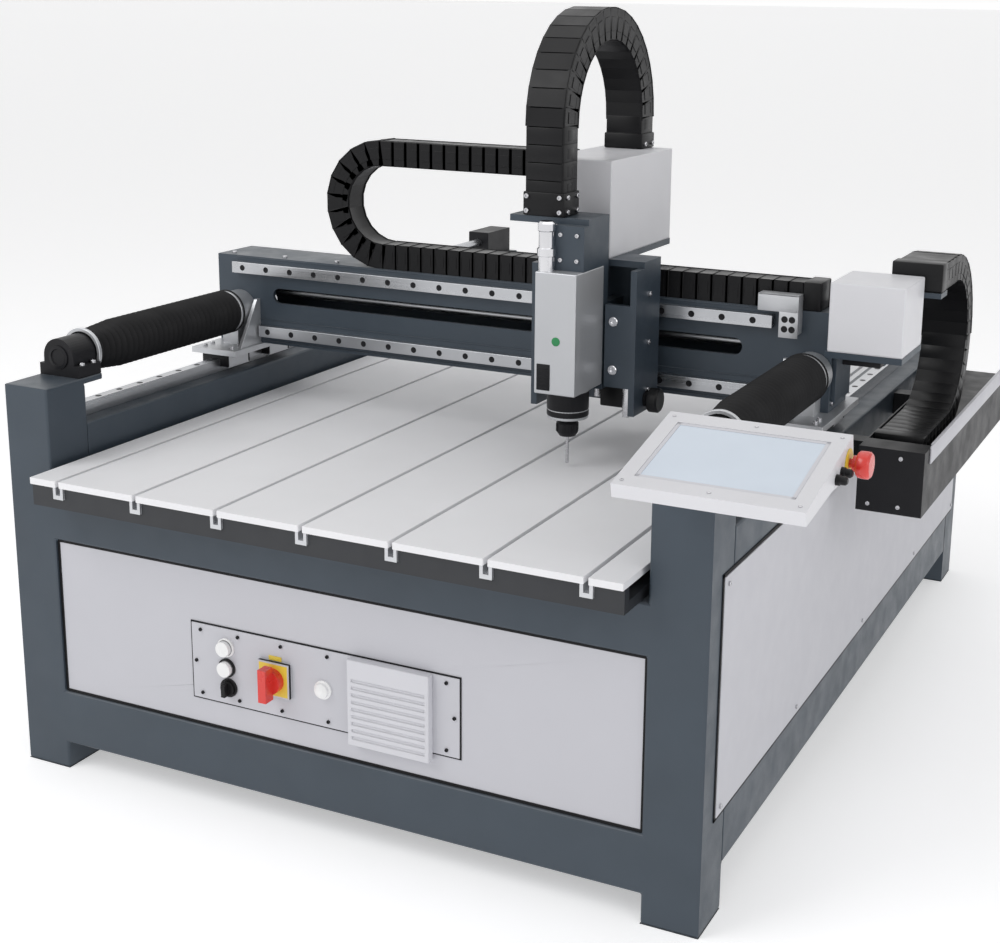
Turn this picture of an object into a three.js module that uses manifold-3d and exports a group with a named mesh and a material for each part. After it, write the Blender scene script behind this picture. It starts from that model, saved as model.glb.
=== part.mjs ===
// A gantry cnc router: welded floor frame, slotted bed, moving gantry, carriage and spindle.
// Millimetres, +Z up. X is across the machine, Y runs from its front to its rear.
// Sizes below are measured from the front frame's middle, on the floor.
import * as THREE from 'three';
import { mergeVertices } from 'three/addons/utils/BufferGeometryUtils.js';
import Module from 'manifold-3d';

const wasm = await Module();
wasm.setup();

// Driving dimensions: frame
const FRAME_WIDTH = 1370;
const FRAME_LENGTH = 1870;
const POST = 100;
const POST_TOP = 740;
const TUBE_WALL = 5;
const FRONT_BEAM_DEPTH = 60;
const LOW_BEAM = [52, 157];
const SIDE_BEAM = [80, 180];
const HIGH_BEAM_BOTTOM = 457;
const RAIL_BEAM = [520, 655];
const CAP_LENGTH = 150;
const CAP_THICK = 12;
const SKIN = 3;
const PANEL_RECESS = 6;
const SIDE_PANEL_INSET = 54;
const SIDE_PANEL_Z = [184, 586];
const RAIL_WIDTH = 24;
const Y_RAIL_HEIGHT = 26;
const X_RAIL_DEPTH = 15;

// Driving dimensions: bed
const BED_OVERHANG = 68;
const BED_REAR_SHORT = 70;
const BED_TOP = 597;
const PLANK_THICK = 12;
const BED_BOARD_THICK = 18;
const BOARD_INSET = 6;
const LIP_DEPTH = 18;
const TRACK_COUNT = 7;
const TRACK_INSET = 2;
const EDGE_STRIP = 61;
const BED_SIDE_GAP = 14;
const TRACK_WIDTH = 22;
const TRACK_SLOT = 10;
const TRACK_FLOOR = 8;
const PLANK_GAP = 8;

// Driving dimensions: front controls
const PLATE_X = [-285, 256];
const PLATE_Z = [210, 352];
const STEM_RADIUS = 6;
const STEM_BORE = 6.5;
const BUTTON_RADIUS = 14;
const BUTTON_THICK = 8;
const BUTTON_CENTRE_Y = -6;
const BUTTON_STEM = 16;
const ESCUTCHEON_HALF = 32;
const ESCUTCHEON_THICK = 8;
const KNOB_RADIUS = 22;
const KNOB_THICK = 14;
const GRIP_HALF_WIDTH = 8;
const GRIP_HALF_LENGTH = 30;
const GRIP_STAND = [12, 34];
const SELECTOR_HALF_WIDTH = 4;
const SELECTOR_HALF_LENGTH = 12;
const SELECTOR_STAND = [6, 20];
const SHORT_STEM = 12;
const FILTER_X = [48, 206];
const FILTER_Z = [196, 352];
const FILTER_DEPTH = 15;
const LOUVRE_COUNT = 9;
const LOUVRE_PITCH = 13;
const LOUVRE_HEIGHT = 5;
const LOUVRE_DEPTH = 3;
const LOUVRE_EDGE = 8;
const LOUVRE_START = 12;

// Driving dimensions: screws and their bearings
const SCREW_RADIUS = 10;
const RUNNING_GAP = 0.06;
const SEAT_GAP = 0.3;
const SCREW_ABOVE_POST = 36;
const BELLOWS_RADIUS = 47;
const BELLOWS_BORE = 14;
const BEARING_FRONT = 90;
const BEARING_WALL = 6;
const BEARING_HALF = 35;
const BEARING_BASE_HALF = 46;
const BEARING_BASE_HEIGHT = 22;
const SCREW_SEAT = 10;
const Y_MOTOR_FROM_REAR = [140, 10];
const Y_MOTOR_HALF = 30;
const Y_MOTOR_ABOVE_SCREW = 28;
const Y_MOTOR_SEAT = 20;
const Y_MOTOR_POCKET = 31;
const Y_NUT_RADIUS = 40;
const Y_NUT_LENGTH = 47;
const X_SCREW_Y = 700;
const X_SCREW_Z = 810;
const Z_SCREW_Y = 578;
const Z_SCREW_RADIUS = 8;
const Z_SCREW_SPAN = [700.5, 971.5];

// Driving dimensions: gantry
const GANTRY_Y = 647;
const BEAM_DEPTH = 120;
const BEAM_Z = [704, 890];
const BEAM_LEFT_REACH = 5;
const BEAM_RIGHT_SHORT = 15;
const BEAM_WALL = 8;
const BEAM_END_WALL = 20;
const BEAM_BORE = 16;
const SLOT_Z = [794, 826];
const SLOT_INSET = [140, 170];
const UPPER_RAIL_Z = 854;
const LOWER_RAIL_Z = 720;
const UPPER_RAIL_INSET = [46, 110];
const LOWER_RAIL_INSET = 5;
const FOOT_Y = [545, 790];
const FOOT_THICK = 12;
const FOOT_OVERLAP = 6;
const CARRIER_HALF = 32;
const CARRIER_BOTTOM = 664;
const CARRIER_Y = [[556, 626], [702, 772]];
const GUSSET_TOP = 800;
const GUSSET_THICK = 8;
const X_MOTOR_FLOOR = [818, 830];
const X_COVER_Y = [600, 745];
const X_COVER_TOP = 955;
const X_COVER_REACH = 140;
const RISER_Y = [748, 760];
const RISER_TOP = 925;
const CHAIN_SHELF_THICK = 10;

// Driving dimensions: carriage
const SPINDLE_X = 241;
const HOUSING_HALF = 105;
const HOUSING_Z = [690, 960];
const HOUSING_WALL = 12;
const HOUSING_BACK = [600, 615];
const HOUSING_FRONT = 500;
const FLANGE_WIDTH = 61;
const GUIDE_Z = [741, 895];
const GUIDE_BLOCK_HEIGHT = 49;
const SHELF_THICK = 12;
const SHELF_FRONT = 536;
const Z_COVER_X = [133, 273];
const Z_COVER_Y = [545, 845];
const Z_COVER_TOP = 1150;
const X_BLOCK_SPAN = [21, 91];
const X_BLOCK_HALF_HEIGHT = 22;
const Z_BLOCK_SPAN = [18, 38];
const Z_RAIL_SPAN = [22, 34];
const Z_RAIL_FACE = 532;
const X_NUT_RADIUS = 22;
const X_NUT_LENGTH = 50;
const NUT_ARM_HALF = [15, 11];
const Z_MOTOR_HALF = 28.5;
const Z_MOTOR_HEIGHT = 108;

// Driving dimensions: spindle
const SPINDLE_FRONT = 380;
const SPINDLE_WIDTH = 80;
const SPINDLE_DEPTH = 120;
const SPINDLE_Z = [745, 966];
const Z_PLATE_Z = [735, 1057];
const Z_PLATE_THICK = 20;
const Z_RAIL_TOP = 950;
const Z_NUT_HALF = 14;
const Z_NUT_BACK = 594;
const Z_NUT_Z = [805, 840];
const CHAIN_BRACKET_LEFT = 125;
const CHAIN_BRACKET_FRONT = 430;
const FAN_INSET = 22;
const FAN_SETBACK = 30;
const NOSE_RADIUS = 38;
const NOSE_LENGTH = 53;
const COLLET_RADIUS = 16;
const COLLET_LENGTH = 34;
const CUTTER_RADIUS = 3;
const CUTTER_TOP = 662;
const CUTTER_TIP = 604;

// Driving dimensions: drag chains and tray
const X_CHAIN_HEIGHT = 50;
const Y_CHAIN_HEIGHT = 50;
const Z_CHAIN_HEIGHT = 60;
const X_CHAIN_Y = [650, 710];
const X_CHAIN_TOP = 1150;
const Y_CHAIN_REACH = [64, 152];
const Y_CHAIN_TOP = 975;
const Z_CHAIN_X = [155, 230];
const TRAY_REACH = [58, 177];
const TRAY_Y = [600, 1520];
const TRAY_Z = [545, 665];
const TRAY_FLOOR = [600, 615];
const TRAY_END = 60;
const TRAY_ARM_Y = [700, 1100, 1450];
const TRAY_ARM_WIDTH = 40;
const TRAY_ARM_TOP = 645;

// Worked out from the dimensions above
const HALF = FRAME_WIDTH / 2;
const INNER = HALF - POST;
const TRACK_HEIGHT = TRACK_WIDTH;
const BOARD_TOP = BED_TOP - PLANK_THICK - TRACK_HEIGHT;
const HIGH_BEAM = [HIGH_BEAM_BOTTOM, BOARD_TOP - BED_BOARD_THICK];
const Y_SCREW_X = HALF - POST / 2;
const Y_SCREW_Z = POST_TOP + SCREW_ABOVE_POST;
const BED_HALF = INNER - BED_SIDE_GAP;
const TRACK_PITCH = 2 * (BED_HALF - EDGE_STRIP) / (TRACK_COUNT - 1);
const BEAM_X = [-HALF - BEAM_LEFT_REACH, HALF - BEAM_RIGHT_SHORT];
const SLOT_X = [BEAM_X[0] + SLOT_INSET[0], BEAM_X[1] - SLOT_INSET[1]];
const BEAM_MIDDLE = (BEAM_X[0] + BEAM_X[1]) / 2;
const GANTRY_BACK = GANTRY_Y + BEAM_DEPTH;
const SPINDLE_BACK = SPINDLE_FRONT + SPINDLE_DEPTH;
const SPINDLE_SIDES = [SPINDLE_X - SPINDLE_WIDTH / 2, SPINDLE_X + SPINDLE_WIDTH / 2];
const AXIS_Y = SPINDLE_FRONT + SPINDLE_DEPTH / 2;
const HOUSING_X = [SPINDLE_X - HOUSING_HALF, SPINDLE_X + HOUSING_HALF];
const SHELF_Z = [HOUSING_Z[1], HOUSING_Z[1] + SHELF_THICK];
const PLATE_FACE = PANEL_RECESS - SKIN;
const SCREW_BORE = SCREW_RADIUS + RUNNING_GAP;
const Z_SCREW_BORE = Z_SCREW_RADIUS + RUNNING_GAP;

// Shapes
function block(x, y, z) {
  const geometry = new THREE.BoxGeometry(x[1] - x[0], y[1] - y[0], z[1] - z[0]);
  return geometry.translate((x[0] + x[1]) / 2, (y[0] + y[1]) / 2, (z[0] + z[1]) / 2);
}

function turned(geometry, axis) {
  if (axis === 'x') geometry.rotateZ(-Math.PI / 2);
  if (axis === 'z') geometry.rotateX(Math.PI / 2);
  return geometry;
}

function rod(axis, radius, length, centre, sides = 32) {
  const geometry = turned(new THREE.CylinderGeometry(radius, radius, length, sides), axis);
  return geometry.translate(...centre);
}

function ring(axis, inner, outer, length, centre) {
  const h = length / 2;
  const corners = [[inner, -h], [outer, -h], [outer, h], [inner, h], [inner, -h]];
  const profile = corners.map(([r, y]) => new THREE.Vector2(r, y));
  return turned(new THREE.LatheGeometry(profile, 32), axis).translate(...centre);
}

function extruded(shape, depth) {
  return new THREE.ExtrudeGeometry(shape, { depth, bevelEnabled: false, curveSegments: 16 });
}

// Extrudes an outline drawn in (y, z) along X
function alongX(shape, x) {
  const geometry = extruded(shape, x[1] - x[0]);
  geometry.applyMatrix4(new THREE.Matrix4().makeBasis(
    new THREE.Vector3(0, 1, 0), new THREE.Vector3(0, 0, 1), new THREE.Vector3(1, 0, 0)));
  return geometry.translate(x[0], 0, 0);
}

// Extrudes an outline drawn in (x, z) along Y
function alongY(shape, y) {
  const geometry = extruded(shape, y[1] - y[0]);
  geometry.applyMatrix4(new THREE.Matrix4().makeBasis(
    new THREE.Vector3(1, 0, 0), new THREE.Vector3(0, 0, 1), new THREE.Vector3(0, -1, 0)));
  return geometry.translate(0, y[1], 0);
}

// Spans on both sides of a middle, from near to far
function eitherSide(middle, [near, far]) {
  return [[middle - far, middle - near], [middle + near, middle + far]];
}

function about(middle, half) {
  return [middle - half, middle + half];
}

function outline(points) {
  return new THREE.Shape(points.map(([a, b]) => new THREE.Vector2(a, b)));
}

// Booleans
function solid(geometry) {
  const bare = geometry.clone();
  bare.deleteAttribute('normal');
  bare.deleteAttribute('uv');
  const merged = mergeVertices(bare, 0.0001);
  const vertProperties = new Float32Array(merged.attributes.position.array);
  const triVerts = new Uint32Array(merged.index.array);
  return new wasm.Manifold(new wasm.Mesh({ numProp: 3, vertProperties, triVerts }));
}

function geometryOf(manifold) {
  const mesh = manifold.getMesh();
  const geometry = new THREE.BufferGeometry();
  const corners = new Float32Array(mesh.vertProperties);
  geometry.setAttribute('position', new THREE.BufferAttribute(corners, 3));
  geometry.setIndex(new THREE.BufferAttribute(new Uint32Array(mesh.triVerts), 1));
  geometry.computeVertexNormals();
  return geometry;
}

function join(...geometries) {
  return geometryOf(geometries.map(solid).reduce((sum, piece) => sum.add(piece)));
}

function cut(geometry, ...tools) {
  return geometryOf(tools.map(solid).reduce((rest, tool) => rest.subtract(tool), solid(geometry)));
}

// Materials
const PAINT = { color: 0x3d4b5a, roughness: 0.45, metalness: 0.2 };
const SHEET = { color: 0xc9cad0, roughness: 0.5, metalness: 0.1 };
const BED = { color: 0xf4f4f6, roughness: 0.55, metalness: 0 };
const STEEL = { color: 0xb8bbc0, roughness: 0.3, metalness: 0.9 };
const ALUMINIUM = { color: 0xbfc1c5, roughness: 0.38, metalness: 0.7 };
const BLACK = { color: 0x17181b, roughness: 0.5, metalness: 0.05 };
const COVER = { color: 0xdcdce1, roughness: 0.45, metalness: 0.05 };
const RED = { color: 0xd8302c, roughness: 0.4, metalness: 0 };
const GLASS = { color: 0xcfe0ef, roughness: 0.15, metalness: 0 };
const WHITE = { color: 0xf2f2f2, roughness: 0.4, metalness: 0 };

const machine = new THREE.Group();

function add(name, geometry, look, parent = machine) {
  const mesh = new THREE.Mesh(geometry, new THREE.MeshStandardMaterial(look));
  mesh.name = name;
  parent.add(mesh);
  return mesh;
}

function mirrored(side, x) {
  return side < 0 ? [-x[1], -x[0]] : x;
}

// Frame
function endFrame(yPost, yBeam, yCap) {
  const sides = [-1, 1];
  const posts = sides.map((side) => block(mirrored(side, [INNER, HALF]), yPost, [0, POST_TOP]));
  const capZ = [POST_TOP - CAP_THICK, POST_TOP];
  const caps = sides.map((side) => block(mirrored(side, [INNER, HALF]), yCap, capZ));
  const beams = [LOW_BEAM, HIGH_BEAM].map((z) => block([-INNER, INNER], yBeam, z));
  const shell = join(...posts, ...beams, ...caps);
  const inset = (span) => [span[0] + TUBE_WALL, span[1] - TUBE_WALL];
  const postHollows = sides.map((side) => (
    block(mirrored(side, inset([INNER, HALF])), inset(yPost), [-1, POST_TOP - CAP_THICK])));
  const hollowX = [-INNER - 2 * TUBE_WALL, INNER + 2 * TUBE_WALL];
  const beamHollows = [LOW_BEAM, HIGH_BEAM].map((z) => block(hollowX, inset(yBeam), inset(z)));
  return cut(shell, ...postHollows, ...beamHollows);
}

function openTube(x, y, z) {
  const hollowX = [x[0] + TUBE_WALL, x[1] - TUBE_WALL];
  const hollowZ = [z[0] + TUBE_WALL, z[1] - TUBE_WALL];
  return cut(block(x, y, z), block(hollowX, [y[0] - 1, y[1] + 1], hollowZ));
}

function addFrame() {
  const rear = FRAME_LENGTH;
  add('front_frame', endFrame([0, POST], [0, FRONT_BEAM_DEPTH], [0, CAP_LENGTH]), PAINT);
  const rearBeam = [rear - FRONT_BEAM_DEPTH, rear];
  add('rear_frame', endFrame([rear - POST, rear], rearBeam, [rear - CAP_LENGTH, rear]), PAINT);
  for (const [side, word] of [[-1, 'left'], [1, 'right']]) {
    const x = mirrored(side, [INNER, HALF]);
    const y = [POST, rear - POST];
    add(`${word}_lower_beam`, openTube(x, y, SIDE_BEAM), PAINT);
    add(`${word}_rail_beam`, openTube(x, y, RAIL_BEAM), PAINT);
    const skin = mirrored(side, [HALF, HALF + SKIN]);
    const skinY = [SIDE_PANEL_INSET, rear - SIDE_PANEL_INSET];
    add(`${word}_side_panel`, block(skin, skinY, SIDE_PANEL_Z), SHEET);
    const rail = mirrored(side, about(Y_SCREW_X, RAIL_WIDTH / 2));
    add(`${word}_y_rail`, block(rail, y, [RAIL_BEAM[1], RAIL_BEAM[1] + Y_RAIL_HEIGHT]), STEEL);
  }
  const panelZ = [LOW_BEAM[1], HIGH_BEAM[0]];
  const frontSheet = block([-INNER, INNER], [PANEL_RECESS, PANEL_RECESS + SKIN], panelZ);
  add('front_panel', cut(frontSheet, ...controlBores()), SHEET);
  const rearY = [rear - PANEL_RECESS - SKIN, rear - PANEL_RECESS];
  add('rear_panel', block([-INNER, INNER], rearY, panelZ), SHEET);
}

// Bed
function trackX(index) {
  return (index - (TRACK_COUNT - 1) / 2) * TRACK_PITCH;
}

function addBed() {
  const boardZ = [HIGH_BEAM[1], BOARD_TOP];
  const trackZ = [BOARD_TOP, BED_TOP - PLANK_THICK];
  const bedY = [-BED_OVERHANG, FRAME_LENGTH - BED_REAR_SHORT];
  const boardY = [bedY[0] + BOARD_INSET, bedY[1] - BOARD_INSET];
  const wide = block([-INNER, INNER], [POST, FRAME_LENGTH - POST], boardZ);
  const narrow = block([-BED_HALF, BED_HALF], boardY, boardZ);
  const lip = block([-BED_HALF, BED_HALF], [boardY[0], boardY[0] + LIP_DEPTH], trackZ);
  const tracks = [];
  const slots = [];
  for (let i = 0; i < TRACK_COUNT; i += 1) {
    const x = trackX(i);
    const trackY = [bedY[0] + TRACK_INSET, bedY[1] - TRACK_INSET];
    tracks.push(block(about(x, TRACK_WIDTH / 2), trackY, trackZ));
    const slotZ = [BOARD_TOP + TRACK_FLOOR, BED_TOP];
    slots.push(block(about(x, TRACK_SLOT / 2), [bedY[0] - 1, bedY[1] + 1], slotZ));
  }
  add('bed_frame', cut(join(wide, narrow, lip, ...tracks), ...slots), ALUMINIUM);
  for (let i = 0; i <= TRACK_COUNT; i += 1) {
    const left = i === 0 ? -BED_HALF : trackX(i - 1) + PLANK_GAP / 2;
    const right = i === TRACK_COUNT ? BED_HALF : trackX(i) - PLANK_GAP / 2;
    add(`bed_plank_${i + 1}`, block([left, right], bedY, [BED_TOP - PLANK_THICK, BED_TOP]), BED);
  }
}

// Controls on the front panel: where each one stands, across and up
const at = { power: [-211, 317], start: [-210, 279], selector: [-207, 242], main: [-107, 280] };

function controlBores() {
  return Object.values(at).map(([x, z]) => rod('y', STEM_BORE, 40, [x, 0, z]));
}

function switchKnob() {
  const [x, z] = at.main;
  const face = PLATE_FACE - ESCUTCHEON_THICK - SEAT_GAP;
  const gripY = [face - GRIP_STAND[1], face - GRIP_STAND[0]];
  const grip = block(about(x, GRIP_HALF_WIDTH), gripY, about(z, GRIP_HALF_LENGTH));
  const disc = rod('y', KNOB_RADIUS, KNOB_THICK, [x, face - KNOB_THICK / 2, z]);
  const shaft = rod('y', STEM_RADIUS, SHORT_STEM, [x, face + SHORT_STEM / 2 - 1, z]);
  return join(disc, grip, shaft);
}

function pushButton([x, z]) {
  const head = rod('y', BUTTON_RADIUS, BUTTON_THICK, [x, BUTTON_CENTRE_Y, z]);
  return join(head, rod('y', STEM_RADIUS, BUTTON_STEM, [x, 0, z]));
}

function selectorKnob() {
  const [x, z] = at.selector;
  const disc = rod('y', BUTTON_RADIUS, BUTTON_THICK, [x, PLATE_FACE - BUTTON_THICK / 2 - SEAT_GAP, z]);
  const barY = [PLATE_FACE - SELECTOR_STAND[1], PLATE_FACE - SELECTOR_STAND[0]];
  const bar = block(about(x, SELECTOR_HALF_WIDTH), barY, about(z, SELECTOR_HALF_LENGTH));
  const stem = rod('y', STEM_RADIUS, SHORT_STEM, [x, PLATE_FACE - 1, z]);
  return join(disc, bar, stem);
}

function filterCover() {
  const y = [PLATE_FACE - FILTER_DEPTH, PLATE_FACE];
  const louvreX = [FILTER_X[0] + LOUVRE_EDGE, FILTER_X[1] - LOUVRE_EDGE];
  const louvres = [];
  for (let i = 0; i < LOUVRE_COUNT; i += 1) {
    const z = FILTER_Z[0] + LOUVRE_START + i * LOUVRE_PITCH;
    louvres.push(block(louvreX, [y[0] - LOUVRE_EDGE, y[0] + LOUVRE_DEPTH], [z, z + LOUVRE_HEIGHT]));
  }
  return cut(block(FILTER_X, y, FILTER_Z), ...louvres);
}

function addControls() {
  const plate = block(PLATE_X, [PLATE_FACE, PANEL_RECESS], PLATE_Z);
  const raised = [PLATE_FACE - ESCUTCHEON_THICK, PLATE_FACE];
  const [mainX, mainZ] = at.main;
  const escutcheon = block(about(mainX, ESCUTCHEON_HALF), raised, about(mainZ, ESCUTCHEON_HALF));
  add('control_plate', cut(join(plate, escutcheon), ...controlBores()), SHEET);
  add('switch_knob', switchKnob(), RED);
  add('power_button', pushButton(at.power), WHITE);
  add('start_button', pushButton(at.start), WHITE);
  add('selector_knob', selectorKnob(), BLACK);
  add('filter_cover', filterCover(), COVER);
}

// Y drive: bearing block, ball screw, bellows and motor on each side
function bearingBlock(x, y) {
  const base = block(about(x, BEARING_BASE_HALF), y, [POST_TOP, POST_TOP + BEARING_BASE_HEIGHT]);
  const waist = block(about(x, BEARING_HALF), y, [POST_TOP, Y_SCREW_Z]);
  const arch = rod('y', BEARING_HALF, y[1] - y[0], [x, (y[0] + y[1]) / 2, Y_SCREW_Z], 40);
  const boreLength = 400;
  const bore = rod('y', SCREW_BORE, boreLength, [x, y[0] + BEARING_WALL + boreLength / 2, Y_SCREW_Z]);
  return cut(join(base, waist, arch), bore);
}

function addYDrive() {
  const blockY = [BEARING_FRONT, CAP_LENGTH];
  const motorY = Y_MOTOR_FROM_REAR.map((fromRear) => FRAME_LENGTH - fromRear);
  const nutFace = GANTRY_Y - Y_NUT_LENGTH;
  const screwY = [blockY[0] + SCREW_SEAT, motorY[0] + Y_MOTOR_SEAT];
  const motorZ = [POST_TOP, Y_SCREW_Z + Y_MOTOR_ABOVE_SCREW];
  for (const [side, word] of [[-1, 'left'], [1, 'right']]) {
    const x = side * Y_SCREW_X;
    add(`${word}_front_bearing`, bearingBlock(x, blockY), BLACK);
    const centre = [x, (screwY[0] + screwY[1]) / 2, Y_SCREW_Z];
    add(`${word}_y_screw`, rod('y', SCREW_RADIUS, screwY[1] - screwY[0], centre), STEEL);
    const pocket = rod('y', SCREW_BORE, 2 * Y_MOTOR_POCKET, [x, motorY[0], Y_SCREW_Z]);
    add(`${word}_y_motor`, cut(block(about(x, Y_MOTOR_HALF), motorY, motorZ), pocket), BLACK);
    const middle = [x, (blockY[1] + nutFace) / 2, Y_SCREW_Z];
    add(`${word}_bellows`, ring('y', BELLOWS_BORE, BELLOWS_RADIUS, nutFace - blockY[1], middle), BLACK);
  }
}

// Drag chain outline: two straight runs joined by a half turn, u along the run, v across it
function chainOutline(fixedEnd, movingEnd, turn, vFixed, vMoving, height, side) {
  const middle = (vFixed + vMoving) / 2;
  const outer = Math.abs(vMoving - vFixed) / 2;
  const up = Math.sign(vMoving - vFixed);
  const start = -up * Math.PI / 2;
  const end = up * Math.PI / 2;
  const turnSide = (angle) => (side > 0 ? angle : Math.PI - angle);
  const steps = 20;
  const arc = (radius, from, to) => Array.from({ length: steps + 1 }, (_, i) => {
    const angle = turnSide(from + (to - from) * i / steps);
    return [turn + radius * Math.cos(angle), middle + radius * Math.sin(angle)];
  });
  const outside = [[fixedEnd, vFixed], ...arc(outer, start, end), [movingEnd, vMoving]];
  const inner = outer - height;
  const underMoving = [movingEnd, vMoving - up * height];
  const overFixed = [fixedEnd, vFixed + up * height];
  const inside = [underMoving, ...arc(inner, end, start), overFixed];
  return [...outside, ...inside];
}

// Tray and Y chain on the right side
function addTray() {
  const x = TRAY_REACH.map((reach) => HALF + reach);
  const hollowX = [x[0] + SKIN, x[1] - SKIN];
  const pastEnd = TRAY_Y[1] + 1;
  const above = block(hollowX, [TRAY_Y[0] + TRAY_END, pastEnd], [TRAY_FLOOR[1], TRAY_Z[1] + 35]);
  const below = block(hollowX, [TRAY_Y[0] + SKIN, pastEnd], [TRAY_Z[0] + SKIN, TRAY_FLOOR[0] - SKIN]);
  const armZ = [TRAY_FLOOR[0], TRAY_ARM_TOP];
  const arms = TRAY_ARM_Y.map((y) => block([HALF, x[0] + 1], [y, y + TRAY_ARM_WIDTH], armZ));
  add('chain_tray', join(cut(block(x, TRAY_Y, TRAY_Z), above, below), ...arms), BLACK);
  const points = chainOutline(700, 760, 901, TRAY_FLOOR[1], Y_CHAIN_TOP, Y_CHAIN_HEIGHT, 1);
  add('y_drag_chain', alongX(outline(points), Y_CHAIN_REACH.map((reach) => HALF + reach)), BLACK);
}

// Gantry
function roundedSlot(x, z) {
  const radius = (z[1] - z[0]) / 2;
  const middle = (z[0] + z[1]) / 2;
  const shape = new THREE.Shape();
  shape.moveTo(x[0] + radius, z[0]);
  shape.lineTo(x[1] - radius, z[0]);
  shape.absarc(x[1] - radius, middle, radius, -Math.PI / 2, Math.PI / 2, false);
  shape.lineTo(x[0] + radius, z[1]);
  shape.absarc(x[0] + radius, middle, radius, Math.PI / 2, Math.PI * 1.5, false);
  return shape;
}

function gantryBeam() {
  const y = [GANTRY_Y, GANTRY_BACK];
  const hollow = block([BEAM_X[0] + BEAM_END_WALL, BEAM_X[1] - BEAM_END_WALL],
    [y[0] + BEAM_WALL, y[1] - BEAM_WALL], [BEAM_Z[0] + BEAM_WALL, BEAM_Z[1] - BEAM_WALL]);
  const slot = alongY(roundedSlot(SLOT_X, SLOT_Z), [y[0] - 1, y[0] + BEAM_WALL + 1]);
  const bores = [-1, 1].map((side) => (
    rod('y', BEAM_BORE, BEAM_DEPTH + 10, [side * Y_SCREW_X, (y[0] + y[1]) / 2, Y_SCREW_Z])));
  const boreLength = BEAM_X[1] - BEAM_X[0] + 10;
  const screwBore = rod('x', SCREW_BORE, boreLength, [BEAM_MIDDLE, X_SCREW_Y, X_SCREW_Z]);
  return cut(block(BEAM_X, y, BEAM_Z), hollow, slot, ...bores, screwBore);
}

function gantryFoot(side) {
  const x = side * Y_SCREW_X;
  const plateZ = [BEAM_Z[0] - FOOT_THICK, BEAM_Z[0]];
  const inPlate = BEAM_Z[0] - FOOT_OVERLAP;
  const plate = block(mirrored(side, [INNER - 7, HALF + 5]), FOOT_Y, plateZ);
  const carriers = CARRIER_Y.map((y) => block(about(x, CARRIER_HALF), y, [CARRIER_BOTTOM, inPlate]));
  const channelZ = [RAIL_BEAM[1] - 5, RAIL_BEAM[1] + Y_RAIL_HEIGHT + SEAT_GAP];
  const channel = block(about(x, RAIL_WIDTH / 2 + SEAT_GAP), [FOOT_Y[0] - 45, FOOT_Y[1] + 10], channelZ);
  const nut = rod('y', Y_NUT_RADIUS, Y_NUT_LENGTH, [x, GANTRY_Y - Y_NUT_LENGTH / 2, Y_SCREW_Z], 40);
  const stand = block(about(x, Y_NUT_RADIUS / 2), [GANTRY_Y - 40, GANTRY_Y], [inPlate, Y_SCREW_Z]);
  const triangle = outline([[FOOT_Y[0] + 25, inPlate], [GANTRY_Y, inPlate],
    [GANTRY_Y, GUSSET_TOP], [GANTRY_Y - 11, GUSSET_TOP]]);
  const gusset = alongX(triangle, mirrored(side, [INNER - 1, INNER - 1 + GUSSET_THICK]));
  const webX = mirrored(side, [INNER - 1, INNER + 35]);
  const web = block(webX, [GANTRY_Y - FOOT_THICK, GANTRY_Y], [GUSSET_TOP - 50, GUSSET_TOP - 10]);
  const bore = rod('y', SCREW_BORE, 200, [x, GANTRY_Y - 23, Y_SCREW_Z]);
  return cut(join(plate, ...carriers, nut, stand, gusset, web), channel, bore);
}

function xMotorBracket() {
  const left = BEAM_X[1];
  const floor = block([left, left + X_COVER_REACH], [X_COVER_Y[0], RISER_Y[0]], X_MOTOR_FLOOR);
  const riser = block([left, left + 75], RISER_Y, [780, RISER_TOP]);
  const shelfZ = [RISER_TOP - CHAIN_SHELF_THICK, RISER_TOP];
  const shelf = block([left, HALF + Y_CHAIN_REACH[1] + 3], [RISER_Y[0], 800], shelfZ);
  const cheek = block([left, left + BEAM_WALL], [660, RISER_Y[1]], [720, X_MOTOR_FLOOR[1]]);
  return join(floor, riser, shelf, cheek);
}

function addXMotor() {
  const coverX = [BEAM_X[1] + 4, BEAM_X[1] + X_COVER_REACH];
  const bottom = X_MOTOR_FLOOR[1];
  const cover = block(coverX, X_COVER_Y, [bottom, X_COVER_TOP]);
  const inset = (span) => [span[0] + SKIN, span[1] - SKIN];
  const inside = block(inset(coverX), inset(X_COVER_Y), [bottom - 1, X_COVER_TOP - SKIN]);
  add('x_motor_cover', cut(cover, inside), COVER);
  add('x_motor', block([coverX[0] + 16, coverX[1] - 18], [640, 730], [bottom, bottom + 90]), BLACK);
}

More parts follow.
